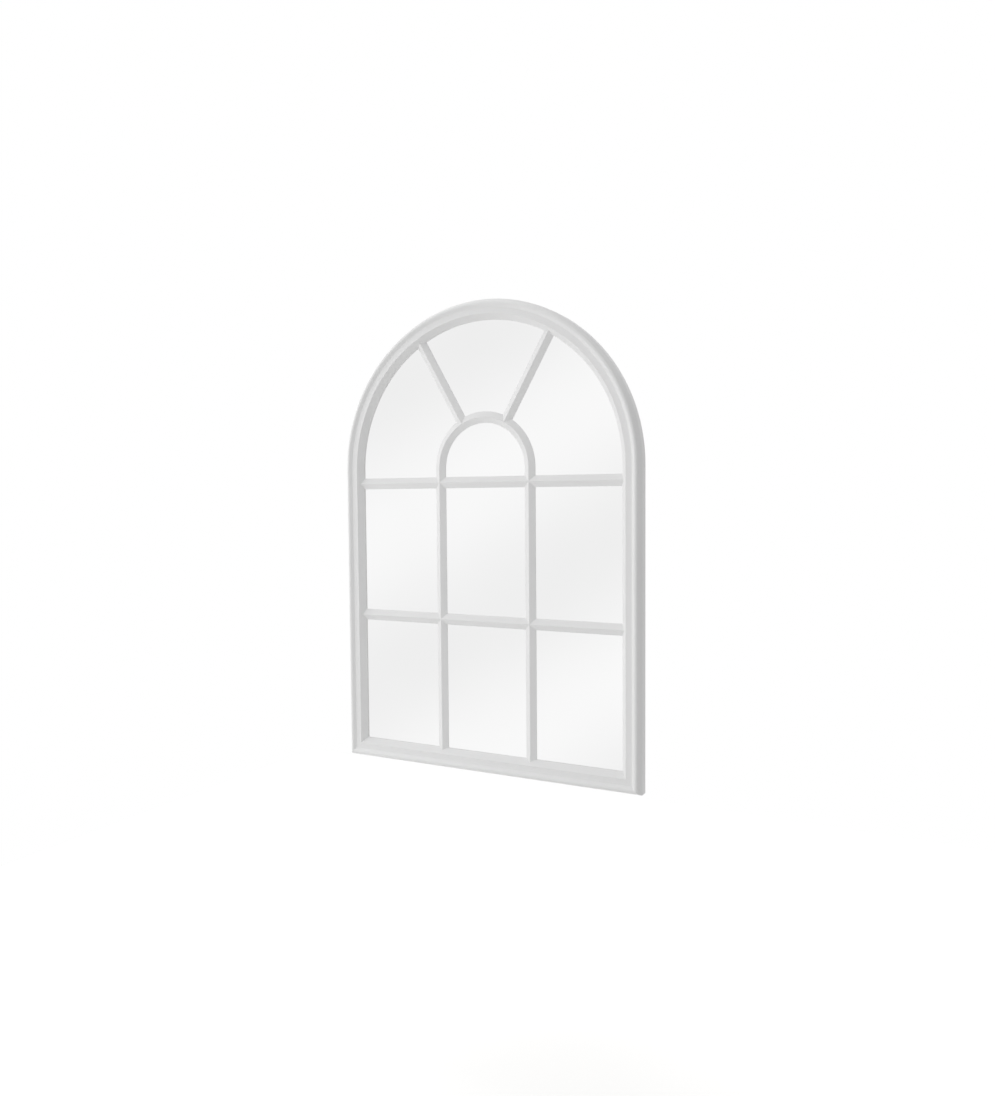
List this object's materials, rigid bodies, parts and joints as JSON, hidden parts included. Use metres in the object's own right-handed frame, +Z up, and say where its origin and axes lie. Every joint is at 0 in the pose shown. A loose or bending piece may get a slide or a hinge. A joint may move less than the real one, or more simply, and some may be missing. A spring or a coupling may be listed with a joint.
{
  "type": "wall mirror",
  "caption": "Arched window-style wall mirror: a white moulded frame with a half-round head, gable glazing bars laid on one arched mirror sheet, backing board and swinging hanger rings.",
  "frame": {"origin": "centre of the foot of the bounding box, midway between the front of the frame and the wall side of the pads", "axes": "+Z up, front of the mirror towards -Y, wall side towards +Y, +X to the right as seen from the front"},
  "size_m": [0.7, 0.0375, 1],
  "materials": {
    "white_paint": "satin white sprayed paint on moulded fibreboard",
    "mirror_glass": "silvered float glass, polished",
    "hardboard": "brown hardboard, smooth back",
    "plywood": "raw birch plywood",
    "setting_plastic": "moulded off-white plastic",
    "zinc_steel": "bright zinc plate",
    "pad_rubber": "moulded black rubber"
  },
  "bodies": {
    "mirror": {"stile_left": "white_paint", "stile_right": "white_paint", "rail_bottom": "white_paint", "head_left": "white_paint", "head_crown": "white_paint", "head_right": "white_paint", "bar_upright_left": "white_paint", "bar_upright_right": "white_paint", "bar_lower_left": "white_paint", "bar_lower_centre": "white_paint", "bar_lower_right": "white_paint", "bar_upper_left": "white_paint", "bar_upper_centre": "white_paint", "bar_upper_right": "white_paint", "bar_arch": "white_paint", "bar_ray_left": "white_paint", "bar_ray_right": "white_paint", "mirror_glass": "mirror_glass", "backing_board": "hardboard", "tongue_foot_left": "plywood", "tongue_foot_right": "plywood", "tongue_spring_left": "plywood", "tongue_spring_right": "plywood", "tongue_head_left": "plywood", "tongue_head_right": "plywood", "setting_block_foot_left": "setting_plastic", "setting_block_foot_right": "setting_plastic", "setting_block_side_left": "setting_plastic", "setting_block_side_right": "setting_plastic", "board_screw_01": "zinc_steel", "board_screw_02": "zinc_steel", "board_screw_03": "zinc_steel", "board_screw_04": "zinc_steel", "board_screw_05": "zinc_steel", "board_screw_06": "zinc_steel", "board_screw_07": "zinc_steel", "board_screw_08": "zinc_steel", "board_screw_09": "zinc_steel", "board_screw_10": "zinc_steel", "board_screw_11": "zinc_steel", "board_screw_12": "zinc_steel", "hanger_screw_left_1": "zinc_steel", "hanger_screw_left_2": "zinc_steel", "hanger_screw_right_1": "zinc_steel", "hanger_screw_right_2": "zinc_steel", "hanger_strap_left": "zinc_steel", "hanger_strap_right": "zinc_steel", "wall_pad_foot_left": "pad_rubber", "wall_pad_foot_right": "pad_rubber", "wall_pad_head_left": "pad_rubber", "wall_pad_head_right": "pad_rubber"},
    "ring_left": {"hanger_ring_left": "zinc_steel"},
    "ring_right": {"hanger_ring_right": "zinc_steel"}
  },
  "joints": [
    {"name": "ring_left_swing", "type": "hinge", "parent": "mirror", "child": "ring_left", "pos_m": [-0.339, 0.0158, 0.62], "axis": [1, 0, 0], "range_deg": [0, 174.5]},
    {"name": "ring_right_swing", "type": "hinge", "parent": "mirror", "child": "ring_right", "pos_m": [0.339, 0.0158, 0.62], "axis": [1, 0, 0], "range_deg": [0, 174.5]}
  ]
}
